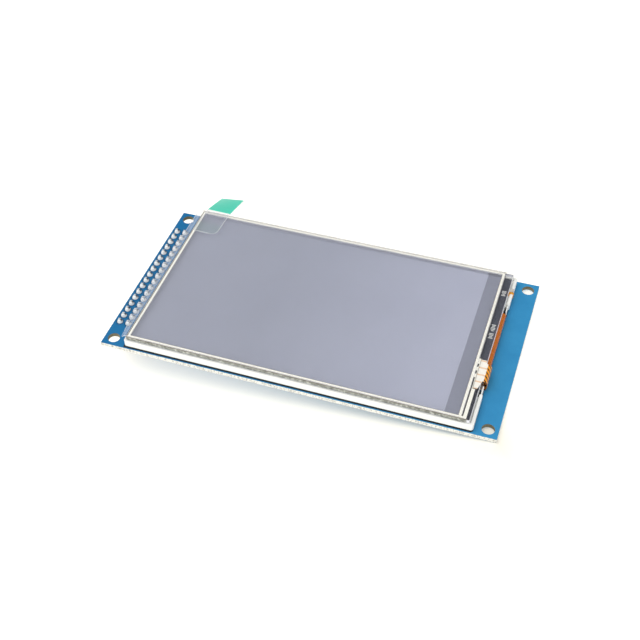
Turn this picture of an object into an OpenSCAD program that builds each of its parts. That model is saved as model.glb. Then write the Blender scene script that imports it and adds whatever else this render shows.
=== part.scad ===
// Colour TFT display module with a resistive touch panel.
// The display is taped to a carrier board that has a two-row pin header under its left end.
// +X runs along the board away from the header, +Y to the back, +Z up through the screen.
// The origin is the centre of the four mounting holes, on the underside of the board.

/* [Circuit board] */
// Thickness of the circuit board
board_t = 1.2; // [0.8:0.2:2]
// Length of bare board at the header's end of the display
header_margin = 6.95; // [6.95:0.05:12]
// Length of bare board at the flex end of the display
flex_margin = 6.25; // [6:0.05:12]
// Width of bare board in front of the display
front_margin = 0.55; // [0:0.05:4]
// Width of bare board behind the display
back_margin = 1.05; // [0:0.05:4]
// Diameter of the four mounting holes, a medium fit for M3
hole_d = 3.4; // [3:0.1:3.6]
// Distance from the board's edges to the centre of a mounting hole
hole_inset = 2.75; // [2.5:0.05:3]

/* [Pin header] */
// Pins in each of the two rows
pins_per_row = 17; // [8:1:17]
// Distance between neighbouring pins
pin_pitch = 2.54; // [2.3:0.01:2.54]
// Width of a square pin
pin_w = 0.64; // [0.5:0.02:0.68]
// Length of the pins below their plastic body
pin_mating = 6; // [4:0.5:9]
// Height of the pin ends above the board
pin_top = 1.4; // [1.2:0.1:1.8]
// Height of the header's plastic body
header_h = 2.54; // [2:0.1:3]
// Corner cut on each cell of the plastic body
header_chamfer = 0.45; // [0.2:0.05:0.7]
// Distance from the board's left edge to the outer row of pins
header_edge = 1.65; // [1.5:0.05:1.9]
// Diameter of the plated hole round each pin
pin_hole_d = 1; // [1:0.05:1.2]
// Diameter of a solder joint where it meets the board
solder_d = 1.7; // [1.5:0.05:1.9]
// Height to which the solder climbs each pin
solder_h = 0.9; // [0.6:0.05:1]

/* [Display frame] */
// Length of the white plastic frame
frame_l = 96.8; // [70:0.1:130]
// Width of the white plastic frame
frame_w = 57.1; // [50:0.1:80]
// Thickness of the frame's walls
frame_wall = 0.85; // [0.7:0.05:1]
// Radius of the frame's outer corners
frame_r = 0.7; // [0.5:0.1:1.5]
// Width of the ledge that carries the rear glass
frame_ledge = 0.8; // [0.6:0.05:1]
// Thickness of the double-sided tape under the frame
tape_t = 0.4; // [0.3:0.05:0.8]
// Distance of the tape from the frame's outer edge
tape_inset = 0.15; // [0.1:0.05:0.8]

/* [Backlight] */
// Thickness of the reflector sheet
reflector_t = 0.1; // [0.06:0.02:0.2]
// Thickness of the light guide
guide_t = 0.55; // [0.4:0.05:0.8]
// Thickness of the diffuser, of the prism film and of the light bar's flex
optic_film_t = 0.1; // [0.06:0.02:0.16]
// Number of side-lit LEDs in the light bar
led_count = 8; // [4:1:10]
// Length of one LED along the light bar
led_l = 3.8; // [2:0.1:4.2]
// Depth of one LED towards the light guide
led_depth = 0.85; // [0.6:0.05:0.9]
// Room for the light bar between the light guide and the frame
led_room = 1.7; // [1.5:0.05:2]

/* [Liquid crystal cell] */
// Thickness of each of the two glass sheets
lcd_glass_t = 0.4; // [0.3:0.05:0.5]
// Thickness of each polariser
polariser_t = 0.15; // [0.1:0.01:0.2]
// Length of the rear glass that the front glass leaves bare
glass_ledge = 5.5; // [5.4:0.1:7]
// Width of the bare front glass round the front polariser
polariser_inset = 0.2; // [0.1:0.05:0.4]
// Length of the bare front glass at the driver's end
polariser_end = 0.4; // [0.3:0.05:0.9]
// Length of the driver chip across the display
driver_l = 20.8; // [14:0.1:24]
// Width of the driver chip
driver_w = 1.2; // [0.8:0.1:1.4]
// Thickness of the driver chip
driver_t = 0.3; // [0.2:0.02:0.3]

/* [Touch panel] */
// Distance from the frame's left end to the touch panel
touch_left = 0.75; // [0.4:0.05:1.2]
// Distance from the touch panel to the frame's flex end
touch_right = 1.15; // [1.1:0.05:1.5]
// Distance from the frame's long sides to the touch panel
touch_side = 0.35; // [0.2:0.05:0.5]
// Thickness of the adhesive gasket under the touch glass
gasket_t = 0.2; // [0.1:0.05:0.4]
// Thickness of the touch glass
touch_glass_t = 1; // [0.7:0.1:1.2]
// Thickness of the printed seal between glass and film
seal_t = 0.1; // [0.06:0.02:0.16]
// Thickness of the flexible touch film
touch_film_t = 0.2; // [0.14:0.02:0.3]
// Width of the printed seal round the window
seal_w = 0.65; // [0.5:0.05:0.8]
// Distance of the seal from the touch panel's edge
seal_inset = 0.3; // [0.2:0.05:0.4]
// Length of touch glass that the film leaves bare beside the tail
film_step = 2.1; // [1.9:0.05:2.3]
// Length of the film's tongue past that step, in front of the tail
film_tongue = 1.4; // [1.2:0.05:1.5]

/* [Flexible circuits] */
// Thickness of the flexible circuits
flex_t = 0.12; // [0.08:0.01:0.15]
// Width of the display's flex where it bends round the glass
flex_w = 21.4; // [16:0.1:22]
// Width of the display's flex where it is bonded to the glass
flex_head_w = 31; // [30:0.1:36]
// Distance of the display flex's middle from the display's middle
flex_shift = 2.95; // [2.8:0.05:3.2]
// Distance of the bent flex from the frame's outer face
flex_inset = 0.15; // [0.1:0.05:0.3]
// Width of the touch panel's tail at the glass
tail_head_w = 10.4; // [10:0.1:11]
// Width of the touch panel's tail where it bends down
tail_w = 6.2; // [4:0.1:6.4]
// Gap between the display's flex and the tail
tail_gap = 0.3; // [0.2:0.05:0.5]
// Distance that the bent tail stands out past the frame
tail_proud = 0.35; // [0.3:0.05:0.6]
// Width of the light bar's tail
led_tail_w = 1.9; // [1.2:0.1:2]
// Distance of the light bar's tail from the back end of the light bar
led_tail_inset = 3.95; // [2:0.05:6]
// Thickness of the solder under the ends of the flexible circuits
land_t = 0.05; // [0.03:0.01:0.08]

/* [Protective film] */
// Thickness of the protective film
cover_t = 0.1; // [0.06:0.02:0.14]
// Length of film that hangs over the left end of the touch panel
cover_overhang = 1.9; // [1.5:0.1:1.9]
// Drop of the overhanging film at its free edge
cover_droop = 0.6; // [0.2:0.1:1]
// Corner radius of the protective film
cover_r = 1.2; // [0.6:0.1:2]
// Thickness of the clear label and of the green tab
tab_t = 0.08; // [0.05:0.01:0.12]
// Width of the label and of the pull tab
tab_w = 7.4; // [5:0.1:9]
// Length of the label on the film
tab_patch_l = 9.6; // [6:0.1:14]
// Length of the tab behind the panel
tab_l = 11.2; // [6:0.1:14]
// Drop of the tab at its free end
tab_droop = 3.9; // [1:0.1:4.5]
// Distance from the touch panel's left edge to the tab
tab_edge = 0.9; // [0.5:0.1:3]

/* [Parts under the board] */
// Distance from the board's middle to the touch controller
controller_x = -34; // [-40:0.5:-26]
// Distance from the board's middle to the backlight driver
boost_x = 17; // [12:0.5:20]
// Height of the power inductor
inductor_h = 1.8; // [1.2:0.1:2]
// Side of the square power inductor
inductor_w = 4; // [3:0.1:4.2]

/* [Hidden] */
$fn = 48;

fit_gap = 0.15;      // side clearance of a sheet in its pocket
stack_gap = 0.05;    // air between the prism film and the rear polariser
flex_room = 1.3;     // room for the flex between the rear glass and the frame's end wall
flex_return = 9;     // distance that the display's flex runs back under the frame
tail_return = 5;     // the same for the touch tail
led_tail_return = 2.6; // the same for the light bar's tail
land_l = 1.5;        // length of a soldered land
tape_lap = 0.7;      // how far the dark tape reaches past the rear glass
bend_r = 0.9;        // outer bend radius of the display's flex and of the light bar's tail
tail_bend_r = 1.3;   // outer bend radius of the touch tail

// Heights, from the underside of the board upwards
z_tape = board_t;
z_land = board_t + land_t;
z_frame = z_tape + tape_t;
z_guide = z_frame + reflector_t;
z_diffuser = z_guide + guide_t;
z_prism = z_diffuser + optic_film_t;
z_rear_polariser = z_prism + optic_film_t + stack_gap;
z_rear_glass = z_rear_polariser + polariser_t;
z_front_glass = z_rear_glass + lcd_glass_t;
z_front_polariser = z_front_glass + lcd_glass_t;
z_gasket = z_front_polariser + polariser_t;
z_touch_glass = z_gasket + gasket_t;
z_seal = z_touch_glass + touch_glass_t;
z_touch_film = z_seal + seal_t;
z_cover = z_touch_film + touch_film_t;
z_label = z_cover + cover_t;
frame_h = z_gasket - z_frame;

// Size of the board, and the shift of the display on it
board_l = header_margin + frame_l + flex_margin;
board_w = front_margin + frame_w + back_margin;
display_shift_x = (header_margin - flex_margin) / 2;
display_shift_y = (front_margin - back_margin) / 2;

// Outlines in plan, each as [left, front, right, back]
function grow(b, d) = [b[0] - d, b[1] - d, b[2] + d, b[3] + d];
function ends(b, left, right) = [b[0] + left, b[1], b[2] - right, b[3]];
frame_box = [
    display_shift_x - frame_l / 2, display_shift_y - frame_w / 2,
    display_shift_x + frame_l / 2, display_shift_y + frame_w / 2
];
glass_pocket = grow(frame_box, -frame_wall);
rear_glass_box = ends(grow(glass_pocket, -fit_gap), 0, flex_room - fit_gap);
front_glass_box = ends(rear_glass_box, 0, glass_ledge);
front_polariser_box = ends(grow(front_glass_box, -polariser_inset), 0, polariser_end - polariser_inset);
stack_pocket = grow(rear_glass_box, -frame_ledge);
stack_box = grow(stack_pocket, -fit_gap);
guide_box = ends(stack_box, 0, led_room);
light_bar_lap = 1;   // how far the light bar's flex laps over the light guide
film_box = ends(guide_box, 0, light_bar_lap + fit_gap);
touch_box = ends(grow(frame_box, -touch_side), touch_left - touch_side, touch_right - touch_side);
film_x = touch_box[2] - film_step;
tongue_x = film_x + film_tongue;
window_box = grow([touch_box[0], touch_box[1], film_x, touch_box[3]], -seal_inset - seal_w);

// Flexible circuits, as stretches along Y
flex_y1 = display_shift_y + flex_shift + flex_w / 2;
flex_y0 = flex_y1 - flex_w;
tail_y1 = flex_y0 - tail_gap;
tail_y0 = tail_y1 - tail_w;
tail_head_y1 = tail_y1 + 1.2;
tail_head_y0 = tail_head_y1 - tail_head_w;
tail_x0 = film_x + 0.45;
led_tail_y = stack_box[3] - led_tail_inset;
flex_out_x = frame_box[2] - flex_inset;
led_tail_out_x = frame_box[2] + 0.1;
tail_out_x = frame_box[2] + tail_proud;
flex_end_x = frame_box[2] - flex_return;
tail_end_x = frame_box[2] - tail_return;
led_tail_end_x = frame_box[2] - led_tail_return;

// Parts under the board: where the chips sit, and how far the small parts lie from them
controller_y = 8;
regulator_y = -10;
boost_y = 12;
part_step = 5;       // from a chip's middle to the parts beside it
pair_step = 1.5;     // half the distance between the two parts of a pair
inductor_step = 6;   // from the backlight driver to the inductor
standoff = 0.1;      // gap between the board and a chip's body
capacitor_l = 2;
capacitor_w = 1.25;
capacitor_h = 0.85;
capacitor_end_l = 0.4;
resistor_l = 1.6;
resistor_w = 0.8;
resistor_h = 0.45;
resistor_end_l = 0.3;

// Pins of the header
row_x = [for (i = [0, 1]) -board_l / 2 + header_edge + i * pin_pitch];
pin_y = [for (i = [0:pins_per_row - 1]) (i - (pins_per_row - 1) / 2) * pin_pitch];
pin_low = -header_h - pin_mating;
pin_high = board_t + pin_top;
hole_x = board_l / 2 - hole_inset;
hole_y = board_w / 2 - hole_inset;

module at_pins() for (x = row_x, y = pin_y) translate([x, y, 0]) children();

module at_holes() for (x = [-hole_x, hole_x], y = [-hole_y, hole_y]) translate([x, y, 0]) children();

// A flat sheet over the outline b, from height z upwards
module sheet(b, z, t) translate([b[0], b[1], z]) cube([b[2] - b[0], b[3] - b[1], t]);

// The outline b with round corners
module round_outline(b, r) {
    translate([b[0] + r, b[1]]) square([b[2] - b[0] - 2 * r, b[3] - b[1]]);
    translate([b[0], b[1] + r]) square([b[2] - b[0], b[3] - b[1] - 2 * r]);
    for (x = [b[0] + r, b[2] - r], y = [b[1] + r, b[3] - r]) translate([x, y]) circle(r);
}

module round_sheet(b, z, t, r) translate([0, 0, z]) linear_extrude(t) round_outline(b, r);

// A profile drawn in X and Z, carried along Y from y0 to y1
module along_y(y0, y1) translate([0, y1, 0]) rotate([90, 0, 0]) linear_extrude(y1 - y0) children();

// A profile drawn in Y and Z, carried along X from x0 to x1
module along_x(x0, x1) translate([x0, 0, 0]) rotate([90, 0, 90]) linear_extrude(x1 - x0) children();

// A quarter of a ring, from the +X side towards the side given by up
module quarter_ring(r, t, up) intersection() {
    difference() {
        circle(r);
        circle(r - t);
    }
    translate([0, up ? 0 : -r]) square(r);
}

// Profile of a strip that leaves at height z1, bends down at x_out and runs back at height z0
module bent_profile(x1, z1, x_out, x0, z0, r, t) {
    least_straight = 0.1;
    bend = min(r, (z1 + t - z0 - least_straight) / 2);
    translate([x1, z1]) square([x_out - bend - x1, t]);
    translate([x_out - bend, z1 + t - bend]) quarter_ring(bend, t, true);
    translate([x_out - t, z0 + bend]) square([t, z1 + t - z0 - 2 * bend]);
    translate([x_out - bend, z0 + bend]) quarter_ring(bend, t, false);
    translate([x0, z0]) square([x_out - bend - x0, t]);
}

module circuit_board() color("#2f86bd") difference() {
    translate([-board_l / 2, -board_w / 2, 0]) cube([board_l, board_w, board_t]);
    at_holes() translate([0, 0, -1]) cylinder(d = hole_d, h = board_t + 2);
    at_pins() translate([0, 0, -1]) cylinder(d = pin_hole_d, h = board_t + 2, $fn = 24);
}

// A row of cells with cut corners, which gives the body its notched sides
module header_body() color("#1c1c1f") difference() {
    translate([0, 0, -header_h]) linear_extrude(header_h) {
        for (y = pin_y) translate([(row_x[0] + row_x[1]) / 2, y]) header_cell();
    }
    at_pins() translate([-pin_w / 2, -pin_w / 2, -header_h - 1]) cube([pin_w, pin_w, header_h + 2]);
}

module header_cell() cut_corners(pin_pitch, pin_pitch / 2, header_chamfer);

// A rectangle with half sizes a and b, and its corners cut by c
module cut_corners(a, b, c) polygon([
    [-a, c - b], [c - a, -b], [a - c, -b], [a, c - b],
    [a, b - c], [a - c, b], [c - a, b], [-a, b - c]
]);

// Side view of a pin, with both ends cut to a blunt point
module pin_profile() {
    a = pin_w / 2;
    tip = pin_w / 4;
    low = pin_low + tip * 1.5;
    high = pin_high - tip * 1.5;
    polygon([
        [-tip, pin_low], [tip, pin_low], [a, low], [a, high],
        [tip, pin_high], [-tip, pin_high], [-a, high], [-a, low]
    ]);
}

module header_pins() color("#d8c27a") at_pins() intersection() {
    along_y(-pin_w / 2, pin_w / 2) pin_profile();
    along_x(-pin_w / 2, pin_w / 2) pin_profile();
}

// A filled plated hole and, above it, a hollow cone of solder that climbs the pin
module solder_joints() {
    neck = pin_w * sqrt(2) / 2 + 0.05;
    base = solder_d / 2;
    steps = 6;
    rise = [
        for (i = [0:steps]) let (s = i / steps)
            [neck + (base - neck) * pow(1 - s, 2.2), board_t + solder_h * s]
    ];
    plug = [[0, 0], [pin_hole_d / 2, 0], [pin_hole_d / 2, board_t]];
    color("#d9dce0") at_pins() difference() {
        rotate_extrude($fn = 24) polygon(concat(plug, rise, [[0, board_t + solder_h]]));
        translate([-pin_w / 2, -pin_w / 2, -1]) cube([pin_w, pin_w, pin_high + 2]);
    }
}

// The tape leaves a bay open for the flexible circuits that are soldered under the display
module mounting_tape() {
    b = grow(frame_box, -tape_inset);
    color("#26282b") difference() {
        sheet(b, z_tape, tape_t);
        sheet([flex_end_x - 0.6, tail_y0 - 0.6, b[2] + 1, flex_y1 + 0.6], z_tape - 1, tape_t + 2);
        led_tail_bay(led_tail_end_x - 0.6, z_tape - 1, tape_t + 2);
    }
}

module led_tail_bay(x, z, h) {
    half = led_tail_w / 2 + 0.3;
    sheet([x, led_tail_y - half, frame_box[2] + 1, led_tail_y + half], z, h);
}

module backlight_frame() {
    thin = 0.3;      // wall left between the two slots beside the flex
    slot_l = 3;      // length of those slots
    slot_w = 0.35;   // how far the inner slot cuts into the ledge
    inner = glass_pocket[2];
    wall_mid = (inner + frame_box[2]) / 2;
    notch_y0 = tail_y0 - 0.4;
    notch_y1 = flex_y1 + 0.4;
    color("#f4f4f2") difference() {
        round_sheet(frame_box, z_frame, frame_h, frame_r);
        sheet(stack_pocket, z_frame - 1, frame_h + 2);
        sheet(glass_pocket, z_rear_glass, frame_h);
        sheet([rear_glass_box[2] + 0.3, notch_y0, frame_box[2] + 1, notch_y1], z_frame - 1, frame_h + 2);
        for (y = [notch_y0 - slot_l, notch_y1 - 1]) {
            sheet([wall_mid + thin / 2, y, frame_box[2] + 1, y + slot_l + 1], z_frame - 1, frame_h + 2);
            sheet([inner - slot_w, y, wall_mid - thin / 2, y + slot_l + 1], z_frame - 1, frame_h + 2);
        }
        led_tail_bay(stack_pocket[2] - 0.1, z_diffuser - 0.05, frame_h);
        led_tail_bay(inner, z_frame - 1, frame_h + 2);
    }
}

module reflector_sheet() color("#e8ecee") sheet(stack_box, z_frame, reflector_t);

module light_guide() color("#dff0f2") sheet(guide_box, z_guide, guide_t);

module diffuser_film() color("#f2f4f5") sheet(film_box, z_diffuser, optic_film_t);

module prism_film() color("#d5dde2") sheet(film_box, z_prism, optic_film_t);

module backlight_leds() {
    pitch = (stack_box[3] - stack_box[1]) / led_count;
    x = guide_box[2] + 0.1;
    color("#f3e9a8") for (i = [0:led_count - 1]) {
        y = stack_box[1] + (i + 0.5) * pitch;
        sheet([x, y - led_l / 2, x + led_depth, y + led_l / 2], z_guide, guide_t);
    }
}

module backlight_flex() color("#d98a3a") {
    sheet([guide_box[2] - light_bar_lap, stack_box[1], stack_box[2], stack_box[3]], z_diffuser, optic_film_t);
    along_y(led_tail_y - led_tail_w / 2, led_tail_y + led_tail_w / 2) bent_profile(
        stack_box[2] - 0.5, z_diffuser, led_tail_out_x, led_tail_end_x, z_land, bend_r, optic_film_t);
}

module rear_polariser() color("#6f7480") sheet(stack_box, z_rear_polariser, polariser_t);

module rear_glass() color("#aab3bd") sheet(rear_glass_box, z_rear_glass, lcd_glass_t);

module front_glass() color("#b4bcc6") sheet(front_glass_box, z_front_glass, lcd_glass_t);

module front_polariser() color("#a9abba") sheet(front_polariser_box, z_front_polariser, polariser_t);

driver_x = front_glass_box[2] + 0.9;
head_x = driver_x + driver_w + 0.8;

module driver_chip() color("#3a3c42")
    sheet([driver_x, display_shift_y - driver_l / 2, driver_x + driver_w, display_shift_y + driver_l / 2],
        z_front_glass, driver_t);

// Dark tape over the bare glass, the driver chip and the bonded end of the flex
module ledge_tape() {
    b = front_polariser_box;
    right = rear_glass_box[2] + tape_lap;
    color("#4b4d5a") sheet([b[2] + 0.05, b[1], right, b[3]], z_front_polariser, polariser_t);
}

module display_flex() color("#c0662e") {
    sheet([head_x, display_shift_y - flex_head_w / 2, rear_glass_box[2], display_shift_y + flex_head_w / 2],
        z_front_glass, flex_t);
    along_y(flex_y0, flex_y1)
        bent_profile(head_x, z_front_glass, flex_out_x, flex_end_x, z_land, bend_r, flex_t);
}

// Rows of soldered lands that carry the ends of the three flexible circuits
module flex_solder() color("#cfd3d6") {
    land_row(flex_end_x, flex_y0, flex_y1, 32);
    land_row(tail_end_x, tail_y0, tail_y1, 4);
    land_row(led_tail_end_x, led_tail_y - led_tail_w / 2, led_tail_y + led_tail_w / 2, 2);
}

module land_row(x, y0, y1, count) {
    pitch = (y1 - y0) / count;
    for (i = [0:count - 1])
        sheet([x, y0 + (i + 0.25) * pitch, x + land_l, y0 + (i + 0.75) * pitch], board_t, land_t);
}

// Outline of the touch film and its seal: inset all round, with a step for the tail
module film_outline(d) {
    tail_room = 0.25;
    x0 = touch_box[0] + d;
    y0 = touch_box[1] + d;
    y1 = touch_box[3] - d;
    polygon([
        [x0, y0], [tongue_x - d, y0], [tongue_x - d, tail_head_y0 - tail_room],
        [tail_x0 - 0.05, tail_head_y0 - tail_room], [tail_x0 - 0.05, tail_head_y1 + tail_room],
        [film_x - d, tail_head_y1 + tail_room], [film_x - d, y1], [x0, y1]
    ]);
}

module touch_gasket() {
    outer = grow([touch_box[0], touch_box[1], film_x, touch_box[3]], -0.15);
    color("#d9dad6") difference() {
        sheet(outer, z_gasket, gasket_t);
        sheet(grow(window_box, 0.1), z_gasket - 1, gasket_t + 2);
    }
}

module touch_glass() color("#c9d3da", 0.6) round_sheet(touch_box, z_touch_glass, touch_glass_t, 0.3);

// The printed seal has a window, two small gaps between the contact fingers and one long slot
module touch_seal() {
    gap_w = 0.45;
    finger_pitch = 2.5;
    first = tail_head_y1 - 2.2;
    color("#fff8e6") translate([0, 0, z_seal]) linear_extrude(seal_t) difference() {
        film_outline(seal_inset);
        translate([window_box[0], window_box[1]])
            square([window_box[2] - window_box[0], window_box[3] - window_box[1]]);
        for (i = [0, 1]) translate([film_x - 0.25, first - i * finger_pitch - 0.6]) square([gap_w, 1.2]);
        translate([film_x - 0.25, touch_box[1] + seal_inset + seal_w])
            square([gap_w, first - 2 * finger_pitch + 0.6 - touch_box[1] - seal_inset - seal_w]);
    }
}

module touch_film() color("#cfd3de", 0.5) translate([0, 0, z_touch_film]) linear_extrude(touch_film_t)
    film_outline(0);

// The tail is bonded to the touch glass, narrows, bends down beside the display's flex and turns under
module touch_tail() color("#e39a3c") {
    bend_x = tail_out_x - tail_bend_r;
    translate([0, 0, z_seal]) linear_extrude(flex_t) polygon([
        [tail_x0, tail_head_y0], [tail_x0 + 1.1, tail_head_y0], [bend_x, tail_y0],
        [bend_x, tail_y1], [bend_x - 0.5, tail_head_y1], [tail_x0, tail_head_y1]
    ]);
    along_y(tail_y0, tail_y1)
        bent_profile(bend_x - 0.5, z_seal, tail_out_x, tail_end_x, z_land, tail_bend_r, flex_t);
}

// The film lies flat on the panel and its left end droops in a parabola
module protective_film() {
    edge = touch_box[0];
    b = [edge - cover_overhang, touch_box[1] + 0.1, film_x - 0.1, touch_box[3] - 0.1];
    steps = 8;
    low = [
        for (i = [0:steps]) let (s = 1 - i / steps)
            [edge - cover_overhang * s, z_cover - cover_droop * s * s]
    ];
    high = [for (i = [steps:-1:0]) low[i] + [0, cover_t]];
    color("#dfe6ee", 0.4) intersection() {
        round_sheet(b, z_cover - cover_droop - 1, cover_droop + cover_t + 2, cover_r);
        along_y(b[1], b[3]) polygon(concat(low, [[b[2], z_cover], [b[2], z_cover + cover_t]], high));
    }
}

// Height of the label over the distance from its inner end: flat on the film, then a drooping curve
tab_x0 = touch_box[0] + tab_edge;
tab_x1 = tab_x0 + tab_w;
tab_y0 = touch_box[3] - tab_patch_l;
tab_y1 = touch_box[3] + tab_l;
tab_root = touch_box[3] + 0.6;
function tab_drop(y) = let (s = max(0, (y - touch_box[3]) / tab_l)) tab_droop * (0.7 * s + 0.3 * s * s);
function tab_line(y0, lift) = [
    for (i = [0:12]) let (y = y0 + (tab_y1 - y0) * i / 12) [y, z_label + lift - tab_drop(y)]
];

module tab_band(y0, line, lift) {
    low = tab_line(line, lift);
    high = [for (i = [12:-1:0]) low[i] + [0, tab_t]];
    start = [[y0, low[0][1]]];
    along_x(tab_x0, tab_x1) polygon(concat(start, low, high, [[y0, low[0][1] + tab_t]]));
}

module pull_label() color("#d4dde4", 0.5) intersection() {
    tab_band(tab_y0, touch_box[3], 0);
    round_sheet([tab_x0 - 3, tab_y0, tab_x1, tab_y1], z_label - tab_droop - 1, tab_droop + 3, 2.2);
}

module pull_tab() color("#5acdb2") intersection() {
    tab_band(touch_box[3], touch_box[3], tab_t);
    round_sheet([tab_x0, tab_root, tab_x1, tab_y1 + 1], z_label - tab_droop - 1, tab_droop + 3, 0.3);
}

// Gull-wing leads of a chip package, on both sides, along Y
module gull_leads(count, pitch, body_w, reach, body_h, lead_w) {
    t = 0.15;
    mid = standoff + body_h / 2;
    for (side = [0, 180], i = [0:count - 1]) rotate(side)
        along_y((i - (count - 1) / 2) * pitch - lead_w / 2, (i - (count - 1) / 2) * pitch + lead_w / 2)
            polygon([[body_w / 2, -mid - t / 2], [body_w / 2 + 0.35, -mid - t / 2], [body_w / 2 + 0.55, -t],
                [reach / 2, -t], [reach / 2, 0], [body_w / 2 + 0.4, 0], [body_w / 2 + 0.22, -mid + t / 2],
                [body_w / 2, -mid + t / 2]]);
}

// A moulded package body with sides that slope to its middle line
module package(l, w, h) intersection() {
    along_y(-l / 2, l / 2) package_profile(w / 2, h);
    along_x(-w / 2, w / 2) package_profile(l / 2, h);
}

module package_profile(a, h) {
    slope = 0.12;
    polygon([
        [slope - a, -standoff], [a - slope, -standoff], [a, -standoff - h / 2],
        [a - slope, -standoff - h], [slope - a, -standoff - h], [-a, -standoff - h / 2]
    ]);
}

module at_controller() translate([controller_x, controller_y, 0]) children();
module at_regulator() translate([controller_x, regulator_y, 0]) children();
module at_boost() translate([boost_x, boost_y, 0]) children();

module touch_controller() color("#202124") at_controller() difference() {
    package(5, 4.4, 1);
    translate([-1.5, 1.8, -2]) cylinder(d = 0.7, h = 0.95);
}

module controller_leads() color("#c9ccd0") at_controller() gull_leads(8, 0.65, 4.4, 6.4, 1, 0.25);

module voltage_regulator() color("#202124") at_regulator() package(6.5, 3.5, 1.6);

module regulator_leads() color("#c9ccd0") at_regulator() {
    for (y = [-2.3, 0, 2.3]) regulator_lead(y, 0.7);
    rotate(180) regulator_lead(0, 3);
}

module regulator_lead(y, w) along_y(y - w / 2, y + w / 2)
    polygon([
        [1.75, -1], [2.3, -1], [2.6, -0.25], [3.5, -0.25],
        [3.5, 0], [2.4, 0], [2.1, -0.75], [1.75, -0.75]
    ]);

module backlight_driver() color("#202124") at_boost() package(2.9, 1.6, 1.1);

module driver_leads() color("#c9ccd0") at_boost() gull_leads(3, 0.95, 1.6, 2.8, 1.1, 0.4);

// A drum-core inductor in a square body with cut corners, on two end terminals
module power_inductor() color("#3a3b3e") translate([inductor_x, boost_y, 0]) {
    difference() {
        translate([0, 0, -inductor_h]) linear_extrude(inductor_h)
            cut_corners(inductor_w / 2, inductor_w / 2, inductor_w / 5);
        translate([0, 0, -inductor_h - 1]) cylinder(d = inductor_w * 0.55, h = 1.2);
    }
}

module rectifier_diode() color("#26272a") translate([boost_x, boost_y - part_step, 0]) package(2.7, 1.6, 1.1);

// Places of the small two-ended parts, as [x, y, turned], tied to the chips that they serve
inductor_x = boost_x - inductor_step;
capacitor_places = concat(
    [for (y = [controller_y, regulator_y], s = [-1, 1]) [controller_x + part_step, y + s * pair_step, 0]],
    [[controller_x - part_step, controller_y, 0]],
    [[boost_x, boost_y + part_step, 90], [inductor_x, boost_y - part_step, 90]]
);
resistor_places = concat(
    [for (s = [-1, 1], u = [-1, 1]) [controller_x + u * pair_step, controller_y + s * part_step, 90]],
    [for (u = [-1, 1]) [inductor_x + u * pair_step, boost_y + part_step, 90]]
);

module at_places(places) for (p = places) translate([p[0], p[1], 0]) rotate(p[2]) children();

module chip_middle(l, w, h, cap) translate([-w / 2, cap - l / 2, -h]) cube([w, l - 2 * cap, h]);

module chip_caps(l, w, h, cap) for (s = [0, 180]) rotate(s)
    translate([-w / 2, l / 2 - cap, -h]) cube([w, cap, h]);

module ceramic_capacitors() color("#b08a5e") at_places(capacitor_places)
    chip_middle(capacitor_l, capacitor_w, capacitor_h, capacitor_end_l);

module capacitor_ends() color("#cfd2d6") at_places(capacitor_places)
    chip_caps(capacitor_l, capacitor_w, capacitor_h, capacitor_end_l);

module chip_resistors() color("#222326") at_places(resistor_places)
    chip_middle(resistor_l, resistor_w, resistor_h, resistor_end_l);

module resistor_ends() color("#cfd2d6") at_places(resistor_places)
    chip_caps(resistor_l, resistor_w, resistor_h, resistor_end_l);

circuit_board();
header_body();
header_pins();
solder_joints();
mounting_tape();
backlight_frame();
reflector_sheet();
light_guide();
diffuser_film();
prism_film();
backlight_leds();
backlight_flex();
rear_polariser();
rear_glass();
front_glass();
front_polariser();
driver_chip();
ledge_tape();
display_flex();
flex_solder();
touch_gasket();
touch_glass();
touch_seal();
touch_film();
touch_tail();
protective_film();
pull_label();
pull_tab();
touch_controller();
controller_leads();
voltage_regulator();
regulator_leads();
backlight_driver();
driver_leads();
power_inductor();
rectifier_diode();
ceramic_capacitors();
capacitor_ends();
chip_resistors();
resistor_ends();
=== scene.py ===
"""Dresses a packed display module: finishes for its solids, and finer pieces where a solid is too plain."""

import functools
import math

import bmesh
import bpy
import numpy as np
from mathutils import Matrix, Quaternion, Vector


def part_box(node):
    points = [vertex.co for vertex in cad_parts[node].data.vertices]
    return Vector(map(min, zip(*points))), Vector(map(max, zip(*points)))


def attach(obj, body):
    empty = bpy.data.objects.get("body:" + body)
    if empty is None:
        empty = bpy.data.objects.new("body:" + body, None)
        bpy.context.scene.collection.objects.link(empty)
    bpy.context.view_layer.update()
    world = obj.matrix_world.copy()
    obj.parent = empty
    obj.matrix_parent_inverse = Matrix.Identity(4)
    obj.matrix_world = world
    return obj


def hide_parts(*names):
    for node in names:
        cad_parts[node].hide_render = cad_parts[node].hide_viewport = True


bl_info = {
    "name": "Display Module Dresser",
    "version": (1, 0, 0),
    "blender": (4, 5, 0),
    "location": "View3D > Sidebar > Display Module",
    "description": "Finishes and fine detail for a touch display on its carrier board",
    "category": "Object",
}

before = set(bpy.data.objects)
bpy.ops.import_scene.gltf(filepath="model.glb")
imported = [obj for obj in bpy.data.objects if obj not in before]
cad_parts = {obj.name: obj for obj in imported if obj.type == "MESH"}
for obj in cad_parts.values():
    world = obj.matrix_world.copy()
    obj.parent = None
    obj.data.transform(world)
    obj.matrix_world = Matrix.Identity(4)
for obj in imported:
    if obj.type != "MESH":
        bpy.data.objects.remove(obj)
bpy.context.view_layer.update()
MM = 0.001
SEED = 11
PIN_PITCH = 2.54 * MM
PIN_WIDTH = 0.64 * MM
DOME_TURNS = 24  # points round a solder joint
SEAM = 0.01 * MM  # gap between a solid's level faces and a clear neighbour's


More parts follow.
